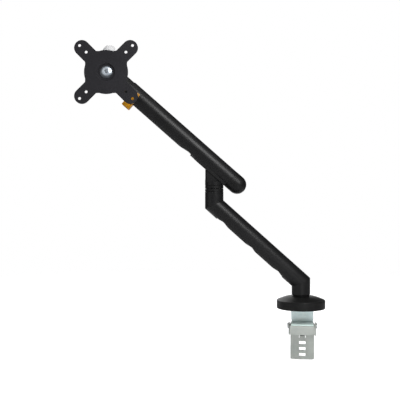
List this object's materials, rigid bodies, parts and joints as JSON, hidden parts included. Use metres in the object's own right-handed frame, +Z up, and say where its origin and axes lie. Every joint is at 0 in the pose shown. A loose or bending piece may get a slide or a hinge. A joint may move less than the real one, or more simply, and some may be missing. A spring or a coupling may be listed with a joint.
{
  "type": "monitor arm",
  "caption": "Spring-balanced monitor arm: bent lower arm, lifting upper arm, tilting head with a screen plate, round base on a desk-edge clamp.",
  "frame": {"origin": "centre of the round base on the desk top", "axes": "+Z up; the screen plate faces -Y; the arms lie in the XZ plane and reach to -X"},
  "size_m": [0.4819, 0.097, 0.6181],
  "materials": {
    "black_coat": "satin powder coat",
    "plate_coat": "fine-textured powder coat",
    "black_plastic": "moulded, fine grain",
    "ring_plastic": "moulded, smooth",
    "rubber": "matt",
    "pad_grey": "matt",
    "zinc": "zinc plated sheet",
    "zinc_blue": "bright blue zinc plated sheet",
    "steel": "bright zinc plated",
    "spring_steel": "oiled wire",
    "chrome": "polished",
    "aluminium": "satin anodised",
    "bronze": "sintered",
    "ochre": "moulded, satin"
  },
  "bodies": {
    "base": {"base_cover": "black_plastic", "base_flange": "steel", "desk_pad": "rubber", "base_spindle": "steel", "base_circlip": "steel", "base_ring": "ring_plastic", "guide_channel": "zinc_blue", "channel_screws": "steel"},
    "clamp_screw": {"clamp_screw": "steel"},
    "ladder": {"ladder_plate": "zinc", "clamp_nut": "steel", "jaw_carrier": "zinc", "jaw_pin": "steel"},
    "jaw": {"jaw": "zinc", "jaw_pad": "pad_grey"},
    "lower_arm": {"lower_arm_foot": "black_coat", "lower_arm_leg": "black_coat", "lower_arm_top": "black_coat", "lower_bush": "bronze", "elbow_bush": "bronze", "lower_cable_cover_1": "black_plastic", "lower_cable_cover_2": "black_plastic", "lower_cable_cover_3": "black_plastic", "elbow_ring_lower": "ring_plastic"},
    "yoke": {"elbow_ring_upper": "ring_plastic", "yoke": "black_coat", "elbow_spindle": "steel", "elbow_circlip": "steel", "level_anchor_pin": "steel", "crank_pin": "steel", "lift_bush": "bronze"},
    "upper_arm": {"upper_tube": "black_coat", "tail_cap": "black_plastic", "pivot_housing": "steel", "lift_pin": "steel", "upper_cable_cover": "black_plastic", "end_fork": "black_coat", "knuckle_pin": "steel", "lift_spring": "spring_steel"},
    "plunger": {"push_rod": "steel", "spring_seat": "steel"},
    "tension_nut": {"tension_nut": "steel"},
    "tension_screw": {"tension_screw": "steel"},
    "levelling_rod": {"levelling_rod": "steel"},
    "lock_collar": {"lock_collar": "ochre"},
    "knuckle": {"knuckle": "black_coat", "level_pin": "steel", "head_post": "steel", "post_cap": "aluminium", "swivel_washer": "ring_plastic"},
    "swivel": {"swivel_bracket": "black_coat", "swivel_bush": "bronze", "tilt_pin": "steel"},
    "tilt": {"tilt_block": "black_coat", "plate_washer": "ring_plastic", "bolt_washer": "chrome", "centre_bolt": "chrome"},
    "plate": {"vesa_plate": "plate_coat"}
  },
  "joints": [
    {"name": "base_swivel", "type": "hinge", "parent": "base", "child": "lower_arm", "pos_m": [0, 0, 0.0514], "axis": [0, 0, 1], "range_deg": [-90, 90]},
    {"name": "elbow_swivel", "type": "hinge", "parent": "lower_arm", "child": "yoke", "pos_m": [-0.1695, 0, 0.22745], "axis": [0, 0, 1], "range_deg": [-90, 90]},
    {"name": "arm_lift", "type": "hinge", "parent": "yoke", "child": "upper_arm", "pos_m": [-0.1695, 0, 0.28095], "axis": [0, -1, 0], "range_deg": [0, 78]},
    {"name": "plunger_slide", "type": "slide", "parent": "upper_arm", "child": "plunger", "axis": [-0.7501, 0, 0.6613], "range_m": [0, 0.0127], "deforming": ["lift_spring"]},
    {"name": "levelling_rod_swing", "type": "hinge", "parent": "yoke", "child": "levelling_rod", "pos_m": [-0.1695, 0, 0.29095], "axis": [0, -1, 0], "range_deg": [0, 78.1]},
    {"name": "knuckle_level", "type": "hinge", "parent": "upper_arm", "child": "knuckle", "pos_m": [-0.35103, 0, 0.44099], "axis": [0, -1, 0], "range_deg": [-78.1, 0]},
    {"name": "tension_nut_slide", "type": "slide", "parent": "upper_arm", "child": "tension_nut", "axis": [-0.7501, 0, 0.6613], "range_m": [-0.003, 0.003]},
    {"name": "tension_screw_turn", "type": "hinge", "parent": "upper_arm", "child": "tension_screw", "pos_m": [-0.33196, 0, 0.41725], "axis": [-0.7501, 0, 0.6613], "range_deg": [-1081, 1081]},
    {"name": "lock_collar_turn", "type": "hinge", "parent": "upper_arm", "child": "lock_collar", "pos_m": [-0.31952, 0, 0.41321], "axis": [-0.7501, 0, 0.6613], "range_deg": [0, 50]},
    {"name": "head_swivel", "type": "hinge", "parent": "knuckle", "child": "swivel", "pos_m": [-0.37473, 0, 0.45799], "axis": [0, 0, 1], "range_deg": [-90, 15]},
    {"name": "head_tilt", "type": "hinge", "parent": "swivel", "child": "tilt", "pos_m": [-0.37473, -0.027, 0.45669], "axis": [1, 0, 0], "range_deg": [-15, 15]},
    {"name": "plate_turn", "type": "hinge", "parent": "tilt", "child": "plate", "pos_m": [-0.37473, -0.047, 0.45319], "axis": [0, -1, 0], "range_deg": [-90, 90]},
    {"name": "ladder_slide", "type": "slide", "parent": "base", "child": "ladder", "axis": [0, 0, -1], "range_m": [-0.005, 0.015]},
    {"name": "clamp_screw_turn", "type": "hinge", "parent": "base", "child": "clamp_screw", "pos_m": [0.00711, 0.0307, 0], "axis": [0, 0, 1], "range_deg": [-1441, 4321]},
    {"name": "jaw_tilt", "type": "hinge", "parent": "ladder", "child": "jaw", "pos_m": [0.00391, 0.00792, -0.0355], "axis": [0.9903, -0.1392, 0], "range_deg": [0, 10]}
  ],
  "couplings": [
    {"joint": "plunger_slide", "follows": "arm_lift", "m_per_rad": 0.0092374},
    {"joint": "levelling_rod_swing", "follows": "arm_lift", "ratio": 1},
    {"joint": "knuckle_level", "follows": "arm_lift", "ratio": -1},
    {"joint": "tension_screw_turn", "follows": "tension_nut_slide", "rad_per_m": 6283.2},
    {"joint": "clamp_screw_turn", "follows": "ladder_slide", "rad_per_m": 5026.5}
  ]
}
